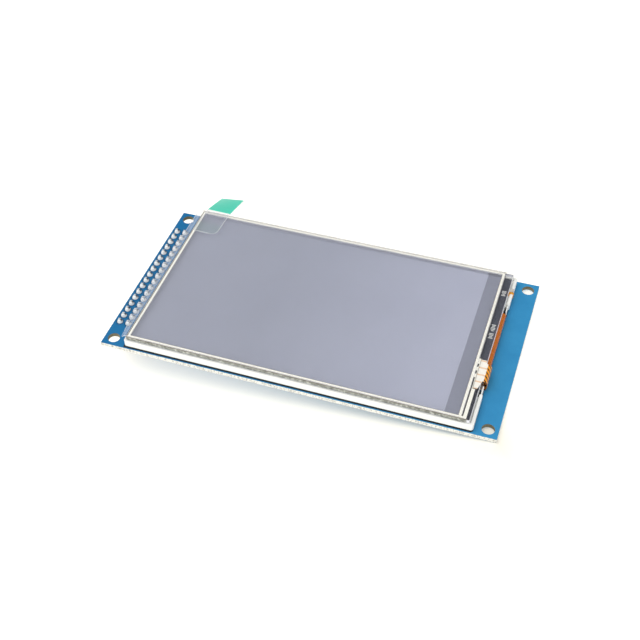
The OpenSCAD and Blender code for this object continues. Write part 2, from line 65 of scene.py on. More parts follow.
def linear(hex_colour):
    """An sRGB hex value as a linear colour with full alpha, by the sRGB curve on each channel."""
    raw = np.array([int(hex_colour[i:i + 2], 16) for i in (1, 3, 5)]) / 255.0
    flat = np.where(raw <= 0.04045, raw / 12.92, ((raw + 0.055) / 1.055) ** 2.4)
    return (*(float(value) for value in flat), 1.0)


def colour_property(name, description, hex_colour):
    return bpy.props.FloatVectorProperty(
        name=name, description=description, default=linear(hex_colour), size=4, subtype="COLOR", min=0.0, max=1.0)


def length_property(name, description, millimetres):
    return bpy.props.FloatProperty(
        name=name, description=description, default=millimetres * MM, min=0.0, unit="LENGTH", precision=5)


class ModuleSizes(bpy.types.PropertyGroup):
    """Fine sizes that the solids leave to the finish."""
    board_edge: length_property("Board edge", "Rounding along the edges of the board", 0.06)
    frame_edge: length_property("Frame edge", "Rounding along the edges of the white frame", 0.1)
    glass_edge: length_property("Glass edge", "Ground chamfer along the touch glass", 0.1)
    chip_edge: length_property("Chip edge", "Rounding along the edges of moulded chips", 0.05)
    pin_edge: length_property("Pin edge", "Rounding along the edges of the square pins", 0.06)
    joint_width: length_property("Joint width", "Diameter of a solder joint at the board", 1.74)
    joint_height: length_property("Joint height", "Height to which solder climbs a pin", 1.05)
    film_curl: length_property("Film curl", "Extra drop of the loose corner of the protective film", 1.0)
    # Width of the painted highlight along the cut edge of a clear film.
    rim: length_property("Bright rim", "Width of the bright cut edge of a clear film", 0.22)
    track_width: length_property("Track width", "Width of a copper track under the solder mask", 0.35)
    track_height: length_property("Track height", "Height of a track under the solder mask", 0.03)
    legend_width: length_property("Legend width", "Width of a printed outline on the board", 0.15)


class ModuleColours(bpy.types.PropertyGroup):
    """Colours of the finishes that a user would change."""
    mask: colour_property("Solder mask", "Blue lacquer of the board", "#3C94C6")
    # Painted shade: the lacquer is drawn darker at the header's end.
    mask_header_shade: colour_property("Solder mask by the header", "Blue lacquer at the header's end", "#0E70A6")
    laminate: colour_property("Laminate", "Cut edge of the glass epoxy board", "#F3F2EA")
    hole_wall: colour_property("Hole wall", "Drilled wall of a mounting hole", "#716A4E")
    moulding: colour_property("White frame", "White polycarbonate of the frame", "#FAFAF5")
    screen: colour_property("Screen", "Grey of the unlit screen at the header's end", "#A3A7B5")
    # Painted reflection: the screen is drawn a shade lighter towards the flex end.
    screen_lit_far: colour_property("Screen, far end", "Grey of the unlit screen at the flex end", "#C6C9DA")
    ledge: colour_property("Ledge tape", "Dark tape beside the screen", "#4A4C57")
    seal: colour_property("Seal ink", "Cream ink that seals the touch panel", "#FFFBEF")
    amber: colour_property("Polyimide", "Amber flex over copper", "#CC7026")
    tail: colour_property("Touch tail", "Golden polyimide of the touch panel's tail", "#FFA72E")
    tab: colour_property("Pull tab", "Green tab on the protective film", "#54E0C2")


class StageSettings(bpy.types.PropertyGroup):
    """Camera, floor and lights."""
    camera_place: bpy.props.FloatVectorProperty(
        name="Camera", description="Place of the camera", size=3,
        default=(0.06873, -0.20994, 0.21955), unit="LENGTH")
    camera_target: bpy.props.FloatVectorProperty(
        name="Target", description="Point on the board that the camera looks at", size=3,
        default=(-0.01549, -0.00754, 0.0012), unit="LENGTH")
    camera_roll: bpy.props.FloatProperty(
        name="Roll", description="Turn of the camera about its view axis",
        default=math.radians(-3.371), subtype="ANGLE")
    lens: bpy.props.FloatProperty(
        name="Lens", description="Focal length on a 36 mm sensor", default=62.26, unit="CAMERA")
    shift: bpy.props.FloatProperty(
        name="Shift", description="Sideways shift of the frame", default=0.0906)
    sky: bpy.props.FloatProperty(
        name="Sky", description="Strength of the white surroundings", default=1.05, min=0.0)
    key: bpy.props.FloatProperty(
        name="Key light", description="Power of the soft light over the module",
        default=1.0, min=0.0, unit="POWER")
    floor_glow: bpy.props.FloatProperty(
        name="Floor glow", description="Light that the floor gives of itself, which softens shadows",
        default=0.4, min=0.0)


def resolved(value):
    """A node as its first open output and a hex string as a linear colour; anything else stays as it is."""
    if isinstance(value, bpy.types.Node):
        return next(socket for socket in value.outputs if socket.enabled)
    return linear(value) if isinstance(value, str) else value


def add(tree, kind, inputs=None, stops=None, **settings):
    """Adds a shader node with its settings; inputs take plain values, hex colours, sockets, or nodes. A Mix whose
    inputs are the colours 6 and 7 mixes colours."""
    node = tree.nodes.new("ShaderNode" + kind)
    inputs = inputs or {}
    if 6 in inputs:
        node.data_type = "RGBA"
    for name, value in settings.items():
        setattr(node, name, value)
    for place, colour in (stops or [])[2:]:
        node.color_ramp.elements.new(place)
    for point, (place, colour) in zip(node.color_ramp.elements if stops else (), stops or ()):
        point.position, point.color = place, resolved(colour)
    for key, value in inputs.items():
        value = resolved(value)
        if isinstance(value, bpy.types.NodeSocket):
            tree.links.new(value, node.inputs[key])
        else:
            node.inputs[key].default_value = value
    return node


def start(name, *noises, **sockets):
    """A material with one Principled shader and its plain socket values. Gives the function that adds its nodes, the
    one that closes it, its object coordinates, and one noise for each (grain in mm, detail, roughness if not 0.5)."""
    material = bpy.data.materials.new(name)
    material.use_nodes = True
    tree = material.node_tree
    tree.nodes.clear()
    shader = add(tree, "BsdfPrincipled")
    for key, value in sockets.items():
        shader.inputs[key.replace("_", " ")].default_value = value
    add(tree, "OutputMaterial", {"Surface": shader})
    place = add(tree, "TexCoord").outputs["Object"]
    patterns = [add(tree, "TexNoise", {"Vector": place, "Scale": 1 / (grain * MM), "Detail": detail,
                                       "Roughness": roughness[0] if roughness else 0.5})
                for grain, detail, *roughness in noises]
    return functools.partial(add, tree), functools.partial(close, material, shader), place, *patterns


def close(material, shader, base, gloss, relief=None, **links):
    """Links the shader's base colour and further inputs by name, and returns its material. Gloss is a pattern with
    its lowest and highest roughness; relief is a pattern with its depth in mm."""
    tree = material.node_tree
    links["Base Color"] = base
    links["Roughness"] = add(tree, "MapRange", {"Value": gloss[0], "To Min": gloss[1], "To Max": gloss[2]})
    if relief:
        links["Normal"] = add(tree, "Bump", {"Height": relief[0], "Distance": relief[1] * MM})
    for key, value in links.items():
        tree.links.new(resolved(value), shader.inputs[key.replace("_", " ")])
    return material


def toned(colour, factor):
    """A colour made lighter or darker by a factor."""
    return (*(min(1.0, channel * factor) for channel in resolved(colour)[:3]), 1.0)


def surface(name, colour, drift=0.06, rough=0.5, spread=0.25, grain=0.15, cloud=6.0, depth=0.005, **sockets):
    """An opaque finish: its colour drifts in clouds, and its gloss and relief follow a grain (sizes in mm)."""
    node, done, _, clouds, grains = start(name, (cloud, 4.0), (grain, 3.0), **sockets)
    tone = node("Mix", {0: clouds, 6: toned(colour, 1 - drift), 7: toned(colour, 1 + drift)})
    return done(tone, (grains, rough * (1 - spread), rough * (1 + spread)), (grains, depth))


def rise(node, place, axis, start_at, end_at, first=0.0, last=1.0):
    """Goes from a first to a last value between two places on an axis."""
    return node("MapRange", {"Value": node("SeparateXYZ", {"Vector": place}).outputs[axis],
                             "From Min": start_at, "From Max": end_at, "To Min": first, "To Max": last})


def from_line(node, place, axis, half):
    """Distance to the nearest of the lines across an axis that are two halves apart."""
    return node("Math", {0: node("SeparateXYZ", {"Vector": place}).outputs[axis], 1: half}, operation="PINGPONG")


def facing_up(node):
    """1 on level faces and 0 on upright ones."""
    return node("Math", {0: node("SeparateXYZ", {"Vector": node("NewGeometry").outputs["Normal"]}).outputs["Z"]},
                operation="ABSOLUTE")


def inside_plan(node, place, solid, inset, soft):
    """1 inside the plan of a solid's box, drawn in by an inset, falling to 0 over a soft edge outside it."""
    low, high = (np.array(corner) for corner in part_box(solid))
    centre, half = (low + high) / 2, (high - low) / 2 - inset
    aside = node("VectorMath", {0: node("VectorMath", {0: place, 1: tuple(centre)}, operation="SUBTRACT")},
                 operation="ABSOLUTE")
    over = node("SeparateXYZ", {"Vector": node("VectorMath", {0: aside, 1: tuple(half)}, operation="SUBTRACT")})
    worst = node("Math", {0: over.outputs["X"], 1: over.outputs["Y"]}, operation="MAXIMUM")
    return node("MapRange", {"Value": worst, "From Min": 0.0, "From Max": soft, "To Min": 1.0, "To Max": 0.0})


def in_window(node, place):
    """1 inside the touch panel's window: the plan of its gasket, drawn in."""
    return inside_plan(node, place, "touch_gasket", 0.8 * MM, 0.1 * MM)


def solder_mask():
    # Solder mask: screen-printed blue lacquer with a wet gloss and a soft orange peel. It is painted darker
    # towards the header's end and round the header's joints as painted shade, and paler at the far end as painted
    # light.
    node, done, place, clouds, peel = start("solder mask lacquer", (5.0, 5.0, 0.6), (0.5, 2.0), IOR=1.5,
                                            Specular_IOR_Level=0.25)
    low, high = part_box("circuit_board")
    # Painted shade and light along the board: darker at the header's end, paler towards the far end.
    along = rise(node, place, "X", low.x, high.x * 0.7)
    base = node("Mix", {0: along, 6: colours().mask_header_shade, 7: colours().mask})
    cloud_tone = node("ValToRGB", {"Fac": clouds}, stops=[(0.3, (0.8, 0.88, 0.92, 1)), (0.7, (1, 1, 1, 1))])
    tone = node("Mix", {0: 1.0, 6: base, 7: cloud_tone}, blend_type="MULTIPLY")
    # Painted shade round each of the header's joints, strongest within 0.9 mm of its centre and fading by 1.35 mm.
    aside = node("VectorMath", {0: place, 1: tuple(pin_places()[0])}, operation="SUBTRACT")
    steps = [from_line(node, aside, axis, PIN_PITCH / 2) for axis in "XY"]
    reach = node("VectorMath", {0: node("CombineXYZ", {"X": steps[0], "Y": steps[1]})}, operation="LENGTH")
    joint_shade = node("Math", {0: inside_plan(node, place, "header_pins", -1.0 * MM, 0.3 * MM),
                         1: node("MapRange", {"Value": reach.outputs["Value"], "From Min": 0.9 * MM,
                                              "From Max": 1.35 * MM, "To Min": 0.75, "To Max": 0.1})},
                operation="MULTIPLY")
    tone = node("Mix", {0: joint_shade, 6: tone, 7: "#0B2C48"})
    return done(tone, gloss=(peel, 0.26, 0.4), relief=(peel, 0.012))


def cut_laminate():
    # Glass epoxy, routed: pale cloth layers with torn fibres, so the edge is rough and speckled. Real layers are about
    # 0.12 mm thick; they are drawn 0.6 mm apart so that they show.
    node, done, place = start("routed glass epoxy", IOR=1.5)
    layers = node("TexWave", {"Vector": place, "Scale": 0.314 / (0.6 * MM), "Distortion": 2.0, "Detail": 2.0,
                              "Detail Scale": 2.0}, bands_direction="Z")
    upright = node("Mapping", {"Vector": place, "Scale": (1.0, 1.0, 0.3)})
    tears = node("TexNoise", {"Vector": upright, "Scale": 1 / (0.45 * MM), "Detail": 4.0, "Roughness": 0.7})
    torn = node("Mix", {0: 0.8, 2: layers.outputs["Fac"], 3: tears})
    cream = colours().laminate
    tone = node("ValToRGB", {"Fac": torn}, stops=[(0.36, toned(cream, 0.35)), (0.45, toned(cream, 0.8)),
                                                  (0.54, cream)])
    return done(tone, gloss=(tears, 0.55, 0.85), relief=(torn, 0.06))


def drilled_laminate():
    # Glass epoxy, drilled: the drill smears the resin, so the wall is olive, ringed and slightly shiny.
    return surface("drilled glass epoxy", colours().hole_wall, drift=0.3, rough=0.45, grain=0.3, cloud=0.8,
                   depth=0.02)


def header_plastic():
    # Glass-filled polyamide, moulded: black with a fine matt grain.
    return surface("moulded polyamide", "#1A1A1D", drift=0.15, rough=0.5, grain=0.12, depth=0.01, IOR=1.53)


def pin_plating():
    # Brass pins: gold flash on the mating end, dipped tin above the board, and a greyer sheared tip.
    node, done, place, smear = start("gold flash and tin", (0.3, 3.0), Metallic=1.0)
    level = rise(node, place, "Z", 0.2 * MM, 1.0 * MM)
    gold = node("Mix", {0: smear, 6: "#D9B768", 7: "#E9CB84"})
    tin = node("Mix", {0: smear, 6: "#CDD0D4", 7: "#F1F2F3"})
    plated = node("Mix", {0: level, 6: gold, 7: tin})
    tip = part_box("header_pins")[1].z
    sheared = rise(node, place, "Z", tip - 0.05 * MM, tip - 0.02 * MM)
    return done(node("Mix", {0: sheared, 6: plated, 7: "#B9BABC"}), gloss=(smear, 0.16, 0.34),
                relief=(smear, 0.01))


def solder():
    # Tin solder, cooled from liquid under a clear film of flux: bright and glossy with soft ripples, and painted shade
    # darkens one side of each joint's upper part.
    node, done, _, ripple, freckle = start("tin solder", (0.7, 2.0), (0.15, 4.0), Metallic=0.15,
                                           Specular_IOR_Level=0.8)
    crease = node("Attribute", attribute_name="crease").outputs["Fac"]
    tin = node("Mix", {0: freckle, 6: "#F2F2F0", 7: "#FFFFFF"})
    return done(node("Mix", {0: crease, 6: tin, 7: "#100E0C"}), gloss=(freckle, 0.1, 0.34),
                relief=(ripple, 0.08))


def tinned_metal():
    # Tinned copper, plated: satin silver with a fine grain.
    return surface("plated tin", "#D4D6D9", drift=0.08, rough=0.3, grain=0.12, depth=0.006, Metallic=1.0)


def foam_tape():
    # Foam tape, die cut: dead black and open-celled at its edge.
    return surface("die-cut foam tape", "#202226", drift=0.3, rough=0.85, grain=0.12, depth=0.05, cloud=1.0)


def frame_plastic():
    # White polycarbonate, injection moulded: satin, milky, with faint flow marks and a polished rim.
    return surface("moulded polycarbonate", colours().moulding, drift=0.025, rough=0.36, grain=0.25, cloud=8.0,
                   depth=0.006, IOR=1.58, Coat_Weight=0.15, Coat_Roughness=0.2)


def reflector_foil():
    # Silvered polyester: a bright mirror film with fine rolling lines.
    return surface("silvered polyester", "#E6EAEC", rough=0.12, grain=0.4, Metallic=1.0)


def guide_acrylic():
    # Acrylic light guide, moulded: glassy, with a field of printed dots 0.6 mm apart that scatter the light.
    node, done, place = start("moulded acrylic", IOR=1.49, Coat_Weight=0.3)
    cells = node("TexVoronoi", {"Vector": place, "Scale": 1 / (0.6 * MM), "Randomness": 0.0})
    dots = node("MapRange", {"Value": cells.outputs["Distance"], "From Min": 0.2, "From Max": 0.28})
    return done(node("Mix", {0: dots, 6: "#FFFFFF", 7: "#D9ECEE"}), gloss=(dots, 0.6, 0.08),
                relief=(dots, 0.01))


def diffuser_film():
    # Diffuser film: polyester with a matt bead coat.
    return surface("beaded polyester", "#F3F5F6", drift=0.02, rough=0.7, grain=0.1, depth=0.01)


def prism_film():
    # Prism film: polyester with fine ridges, drawn here 0.2 mm apart so that they show.
    node, done, place = start("ridged polyester", IOR=1.6)
    ridge = from_line(node, place, "Y", 0.1 * MM)
    slope = node("MapRange", {"Value": ridge, "From Max": 0.1 * MM})
    return done(node("Mix", {0: slope, 6: "#C4CDD2", 7: "#E3E9EC"}), gloss=(slope, 0.2, 0.35), relief=(slope, 0.1))


def led_resin():
    # White LED: a phosphor-filled silicone window, yellow and matt.
    return surface("phosphor silicone", "#F1E49A", drift=0.1, rough=0.4, grain=0.1, depth=0.01, cloud=1.0)


def screen_polariser():
    # Polariser, laminated over the cell: the unlit screen's blue-grey and satin, with a painted reflection that makes
    # it a shade lighter towards the flex end.
    node, done, place, haze, grain = start("anti-glare polariser", (25.0, 2.0), (0.12, 2.0), IOR=1.49)
    low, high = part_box("front_polariser")
    along = rise(node, place, "X", low.x * 0.3, high.x)
    base = node("Mix", {0: along, 6: colours().screen, 7: colours().screen_lit_far})
    cloud_tone = node("ValToRGB", {"Fac": haze}, stops=[(0.3, (0.95, 0.95, 0.96, 1)), (0.7, (1, 1, 1, 1))])
    return done(node("Mix", {0: 1.0, 6: base, 7: cloud_tone}, blend_type="MULTIPLY"),
                gloss=(grain, 0.22, 0.3), relief=(grain, 0.002))


def cell_glass():
    # Display glass, scribed and broken: clear green-grey with a bright, chipped edge.
    node, done, _, chips = start("scribed display glass", (0.4, 5.0), IOR=1.52)
    upward = facing_up(node)
    edge = node("ValToRGB", {"Fac": chips}, stops=[(0.35, "#8FA09E"), (0.65, "#E9F0EE")])
    return done(node("Mix", {0: upward, 6: edge, 7: "#868C97"}), gloss=(chips, 0.06, 0.16),
                relief=(chips, 0.01))


def bare_silicon():
    # Silicon, ground and polished: a dark mirror with a grey cast.
    return surface("polished silicon", "#45474F", drift=0.1, rough=0.15, grain=0.3, depth=0.002, Metallic=0.6)


def ledge_tape():
    # Polyester tape, dyed: dark grey and satin, and painted paler beside the screen as painted light.
    node, done, place, crumple = start("dyed polyester tape", (1.2, 4.0), IOR=1.57)
    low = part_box("ledge_tape")[0].x
    # Painted light: the tape is drawn 3.5 times lighter over its first 3.4 mm beside the screen.
    across = rise(node, place, "X", low + 3.4 * MM, low + 3.5 * MM)
    dark = colours().ledge
    tone = node("Mix", {0: across, 6: toned(dark, 3.5), 7: toned(dark, 1.15)})
    worn = node("Mix", {0: crumple, 6: "#D8D8D8", 7: "#FFFFFF"})
    return done(node("Mix", {0: 1.0, 6: tone, 7: worn}, blend_type="MULTIPLY"), gloss=(crumple, 0.32, 0.5),
                relief=(crumple, 0.02))


def printed_white():
    # Legend ink, screen printed: dense matt white with a slightly ragged grain.
    return surface("screen-printed white ink", "#ECECE8", drift=0.05, rough=0.55, grain=0.12, depth=0.01)


def gasket_foam():
    # Acrylic foam gasket, die cut: white foam, painted down to a matt grey like the screen as painted shade, so that
    # only a thin line shows along the window, and painted dark over the ledge as painted shade.
    node, done, place, cells = start("acrylic foam", (0.2, 4.0), IOR=1.49)
    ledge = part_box("ledge_tape")[0].x
    over = rise(node, place, "X", ledge - 0.5 * MM, ledge)
    grey = node("Mix", {0: over, 6: "#B4B7C6", 7: "#4A4B54"})
    tone = node("Mix", {0: cells, 6: "#D0D0D0", 7: "#FFFFFF"})
    return done(node("Mix", {0: 1.0, 6: grey, 7: tone}, blend_type="MULTIPLY"), gloss=(cells, 0.7, 0.9),
                relief=(cells, 0.03))


def bus_print():
    # Silver ink, screen printed: the panel's contact lines, tarnished grey-brown and matt.
    return surface("screen-printed silver ink", "#6F665C", drift=0.2, rough=0.5, grain=0.2, depth=0.01, cloud=1.2)


def ground_glass_side():
    # Soda-lime glass, cut and ground: the side is frosted and mottled, grey-green with bright flakes on the near sides,
    # and painted pale on the far ones, as painted light let in through them.
    node, done, place, mottle = start("ground glass edge", (1.1, 6.0, 0.7), IOR=1.52)
    near = node("ValToRGB", {"Fac": mottle}, stops=[(0.3, "#4C4D46"), (0.5, "#8A8C84"), (0.7, "#DADBD4")])
    far = node("Mix", {0: mottle, 6: "#D5D6E0", 7: "#F6F6FA"})
    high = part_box("touch_glass")[1]
    back, right = (rise(node, place, axis, edge - 1.0 * MM, edge - 0.6 * MM)
                   for axis, edge in (("Y", high.y), ("X", high.x)))
    away = node("Math", {0: back, 1: right}, operation="MAXIMUM")
    return done(node("Mix", {0: away, 6: near, 7: far}), gloss=(mottle, 0.2, 0.55), relief=(mottle, 0.03))


def clear_glass():
    # Soda-lime glass, float: clear, with the faint grey-blue veil of its conductive coating.
    node, done, _, veil = start("coated float glass", (30.0, 1.0), IOR=1.52, Alpha=0.03)
    return done(node("Mix", {0: veil, 6: "#AEB5C6", 7: "#C3C8D4"}), gloss=(veil, 0.04, 0.08))


def seal_ink():
    # Insulating ink, screen printed: thick cream with a soft gloss and faint mesh marks.
    return surface("screen-printed cream ink", colours().seal, drift=0.02, rough=0.4, grain=0.3, depth=0.01,
                   cloud=3.0)


def touch_film():
    # Polyester touch film, die cut: clear and glossy, veiled inside the window; its cut edge shows grey-brown.
    node, done, place, veil = start("coated polyester film", (12.0, 2.0), IOR=1.57)
    upward = facing_up(node)
    face = node("Mix", {0: veil, 6: "#C8CBD9", 7: "#CFD2DF"})
    clear = node("MapRange", {"Value": in_window(node, place), "To Min": 0.015, "To Max": 0.12})
    return done(node("Mix", {0: upward, 6: "#8F857A", 7: face}),
                Alpha=node("Mix", {0: upward, 2: 0.9, 3: clear}), gloss=(veil, 0.05, 0.1))


def etched_flex(name, amber):
    # Polyimide over copper, etched: amber gloss with traces 0.4 mm apart that show as darker lines.
    node, done, place, flow = start(name, (1.5, 3.0), IOR=1.6, Coat_Weight=0.2, Coat_Roughness=0.1)
    across = from_line(node, place, "Y", 0.2 * MM)
    copper = node("MapRange", {"Value": across, "From Min": 0.07 * MM, "From Max": 0.12 * MM})
    trace = node("Mix", {0: copper, 6: toned(amber, 0.5), 7: toned(amber, 1.3)})
    return done(node("Mix", {0: flow, 6: trace, 7: amber}), gloss=(flow, 0.18, 0.34),
                relief=(copper, 0.015))


def touch_tail():
    # Polyimide tail, etched: its head is coated cream with pale pads, and its bend is golden over dark traces.
    node, done, place, flow = start("golden polyimide tail", (1.2, 3.0), IOR=1.6, Coat_Weight=0.3, Coat_Roughness=0.1)
    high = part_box("touch_tail")[1]
    split = node("SeparateXYZ", {"Vector": place})
    lean = node("Math", {0: split.outputs["X"], 1: 0.9, 2: split.outputs["Y"]}, operation="MULTIPLY_ADD")
    trace = node("Math", {0: lean, 1: 0.7 * MM}, operation="PINGPONG")
    dark = node("MapRange", {"Value": trace, "From Min": 0.2 * MM, "From Max": 0.3 * MM})
    gold = node("Mix", {0: flow, 6: toned(colours().tail, 0.85), 7: colours().tail})
    bend = node("Mix", {0: dark, 6: "#4A2A10", 7: gold})
    pads = from_line(node, place, "Y", 1.25 * MM)
    gap = node("MapRange", {"Value": pads, "From Min": 0.08 * MM, "From Max": 0.36 * MM})
    head = node("Mix", {0: gap, 6: "#F0C9A6", 7: "#FCF8EE"})
    past = rise(node, place, "X", high.x - 1.15 * MM, high.x - 1.0 * MM)
    return done(node("Mix", {0: past, 6: head, 7: bend}), gloss=(flow, 0.2, 0.36), relief=(dark, 0.02))


def cover_film():
    # Polyethylene cover film, blown: milky veil, brighter where it hangs free, with a painted highlight along its cut
    # edges.
    node, done, place, veil = start("blown polyethylene film", (9.0, 4.0), IOR=1.5)
    rim = node("Attribute", attribute_name="rim").outputs["Fac"]
    free = node("Attribute", attribute_name="free").outputs["Fac"]
    body = node("Mix", {0: free, 6: "#CBCEDC", 7: "#EEF3F8"})
    cloud = node("MapRange", {"Value": veil, "To Min": 0.08, "To Max": 0.12})
    inner = node("Math", {0: in_window(node, place), 1: cloud}, operation="MULTIPLY")
    haze = node("Math", {0: free, 1: 0.26, 2: inner}, operation="MULTIPLY_ADD")
    opacity = node("Math", {0: rim, 1: 0.45, 2: haze}, operation="MULTIPLY_ADD", use_clamp=True)
    return done(node("Mix", {0: rim, 6: body, 7: "#FFFFFF"}), Alpha=opacity, gloss=(veil, 0.08, 0.2),
                relief=(veil, 0.15))


def label_film():
    # Clear polyester label, die cut: a painted highlight as a thin light outline, and the green of the adhesive under
    # half of it.
    node, done, place, veil = start("clear polyester label", (3.0, 3.0), IOR=1.57)
    rim = node("Attribute", attribute_name="rim").outputs["Fac"]
    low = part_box("pull_label")[0]
    glue = rise(node, place, "Y", low.y + 4.2 * MM, low.y + 4.4 * MM)
    body = node("Mix", {0: glue, 6: "#BAD2D0", 7: "#C8CBD8"})
    opacity = node("Math", {0: rim, 1: 0.5, 2: node("MapRange", {"Value": veil, "To Min": 0.12, "To Max": 0.17})},
                   operation="MULTIPLY_ADD", use_clamp=True)
    return done(node("Mix", {0: rim, 6: body, 7: "#FFFFFF"}), Alpha=opacity, gloss=(veil, 0.1, 0.2))


def tab_film():
    # Green polyester tab, dyed through: mint and glossy, with a painted highlight that makes its edges a little
    # lighter.
    node, done, _, veil = start("dyed polyester tab", (2.5, 4.0), IOR=1.57, Coat_Weight=0.3, Coat_Roughness=0.15)
    rim = node("Attribute", attribute_name="rim").outputs["Fac"]
    mint = colours().tab
    body = node("Mix", {0: veil, 6: toned(mint, 0.93), 7: toned(mint, 1.05)})
    return done(node("Mix", {0: rim, 6: body, 7: toned(mint, 1.3)}), gloss=(veil, 0.28, 0.42),
                relief=(veil, 0.02))


def chip_resin():
    # Epoxy chip package, transfer moulded: near black with a fine erosion grain from its mould.
    return surface("moulded epoxy", "#232427", drift=0.12, rough=0.55, grain=0.1, depth=0.012, cloud=2.0)


def ferrite():
    # Ferrite core, pressed and sintered: dark grey, matt and granular.
    return surface("sintered ferrite", "#3B3C40", drift=0.25, rough=0.6, grain=0.15, depth=0.02, cloud=0.8)


def capacitor_ceramic():
    # Barium titanate ceramic, fired: tan and slightly glossy.
    return surface("fired ceramic", "#B48D62", drift=0.12, rough=0.35, grain=0.15, depth=0.006, cloud=0.9)


def resistor_glaze():
    # Glass glaze over a printed resistor: black and glossy.
    return surface("glass glaze", "#1B1C20", drift=0.1, rough=0.2, grain=0.2, depth=0.006, cloud=0.8)


def lit_paper(glow):
    # Coated paper, lit from below: matt warm white; its glow is painted dimmer and warmer in front of the module, more
    # towards its resting end, as a painted shadow that stays even from end to end.
    node, done, place, fibre = start("matt coated paper with painted shadow", (0.6, 3.0))
    low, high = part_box("circuit_board")
    front = rise(node, place, "Y", low.y + 14 * MM, low.y)
    painted_shadow = node("Math", {0: inside_plan(node, place, "circuit_board", 6 * MM, 16 * MM), 1: front},
                 operation="MULTIPLY")
    level = rise(node, place, "X", low.x, high.x, glow * 1.7, 0.0)
    return done(node("Mix", {0: fibre, 6: "#EAE7DB", 7: "#EDEADF"}),
                Emission_Color=node("Mix", {0: painted_shadow, 6: "#FFFFFF", 7: (1.0, 0.91, 0.76, 1.0)}),
                Emission_Strength=node("Mix", {0: painted_shadow, 2: glow, 3: level}), gloss=(fibre, 0.7, 0.9),
                relief=(fibre, 0.002))


def sizes():
    return bpy.context.scene.module_sizes


def colours():
    return bpy.context.scene.module_colours


def finish(solid, material):
    """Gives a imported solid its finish."""
    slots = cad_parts[solid].data.materials
    slots.clear()
    slots.append(material)


def placed(name, data):
    """A new object of the scene, at the origin."""
    thing = bpy.data.objects.new(name, data)
    bpy.context.scene.collection.objects.link(thing)
    return thing


def plan_mm(solid):
    """Lowest and highest corners of a solid's plan, in mm."""
    return [np.array(corner)[:2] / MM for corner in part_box(solid)]


def point_values(piece, name, values):
    """Gives each point of a mesh a value that its material reads by name."""
    layer = piece.data.attributes.new(name, "FLOAT", "POINT")
    layer.data.foreach_set("value", np.asarray(values, dtype=np.float32))


def smoothed(mesh, sharp=180):
    """Shades a mesh smooth, apart from edges sharper than an angle in degrees."""
    mesh.polygons.foreach_set("use_smooth", [True] * len(mesh.polygons))
    mesh.set_sharp_from_angle(angle=math.radians(sharp))


def new_piece(name, points, faces, material, nodes=()):
    """A smooth mesh from points and faces, with its faces turned outwards; it stands in for the named solids."""
    mesh = bpy.data.meshes.new(name)
    mesh.from_pydata(np.asarray(points).tolist(), [], [list(map(int, face)) for face in faces])
    shape = bmesh.new()
    shape.from_mesh(mesh)
    bmesh.ops.recalc_face_normals(shape, faces=shape.faces)
    shape.to_mesh(mesh)
    shape.free()
    mesh.materials.append(material)
    smoothed(mesh, 35)
    piece = placed(name, mesh)
    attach(piece, "root")
    if nodes:
        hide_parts(*nodes)
    return piece


def eased_copy(solid, slot, width, *materials, segments=2, sink=0.0):
    """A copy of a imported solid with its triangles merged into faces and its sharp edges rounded; sink draws its top
    and bottom in a little, so that neither lies in the same plane as a clear neighbour's face."""
    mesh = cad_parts[solid].data.copy()
    mesh.materials.clear()
    for material in materials:
        mesh.materials.append(material)
    shape = bmesh.new()
    shape.from_mesh(mesh)
    bmesh.ops.remove_doubles(shape, verts=shape.verts, dist=2e-6)
    bmesh.ops.dissolve_limit(shape, angle_limit=math.radians(0.3), verts=shape.verts, edges=shape.edges)
    shape.to_mesh(mesh)
    shape.free()
    points = np.empty(len(mesh.vertices) * 3)
    mesh.vertices.foreach_get("co", points)
    z = points[2::3]
    points[2::3] = np.clip(z, z.min() + sink, z.max() - sink)
    mesh.vertices.foreach_set("co", points)
    mesh.polygons.foreach_set("material_index", [0] * len(mesh.polygons))
    smoothed(mesh, 30)
    piece = placed(solid + "_fine", mesh)
    if width:
        edge = piece.modifiers.new("eased edge", "BEVEL")
        edge.width = width
        edge.segments = segments
        edge.limit_method = "ANGLE"
        edge.angle_limit = math.radians(30)
        edge.harden_normals = True
    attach(piece, "root")
    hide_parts(solid)
    return piece


def face_sides(piece):
    """Per face of a mesh: its centre, and whether it stands upright."""
    mesh = piece.data
    centres = np.empty(len(mesh.polygons) * 3)
    normals = np.empty(len(mesh.polygons) * 3)
    mesh.polygons.foreach_get("center", centres)
    mesh.polygons.foreach_get("normal", normals)
    return centres.reshape(-1, 3), np.abs(normals.reshape(-1, 3)[:, 2]) < 0.5


def grid_faces(rows, columns, start_at=0, wrap=False):
    """Quads over a grid of points kept row by row; wrap joins the last column to the first."""
    row = np.arange(rows - 1)[:, None]
    column = np.arange(columns if wrap else columns - 1)[None, :]
    after = (column + 1) % columns
    corners = (row * columns + column, row * columns + after, (row + 1) * columns + after, (row + 1) * columns + column)
    return np.stack(np.broadcast_arrays(*corners), axis=-1).reshape(-1, 4) + start_at


def closed_sheet(name, top, thickness, material, nodes=(), slot=None, **attributes):
    """A thin closed sheet: the grid top, the same grid lowered by its thickness, and a strip round the rim."""
    rows, columns = top.shape[:2]
    count = rows * columns
    index = np.arange(count).reshape(rows, columns)
    rim = np.concatenate([index[0, :], index[1:, -1], index[-1, -2::-1], index[-2:0:-1, 0]])
    strip = np.stack([rim, rim + count, np.roll(rim, -1) + count, np.roll(rim, -1)], axis=-1)
    faces = np.concatenate([grid_faces(rows, columns), grid_faces(rows, columns, count)[:, ::-1], strip])
    points = np.concatenate([top.reshape(-1, 3), top.reshape(-1, 3) - (0, 0, thickness)])
    piece = new_piece(name, points, faces, material, nodes)
    for label, values in attributes.items():
        point_values(piece, label, np.tile(np.ravel(values), 2))
    return piece


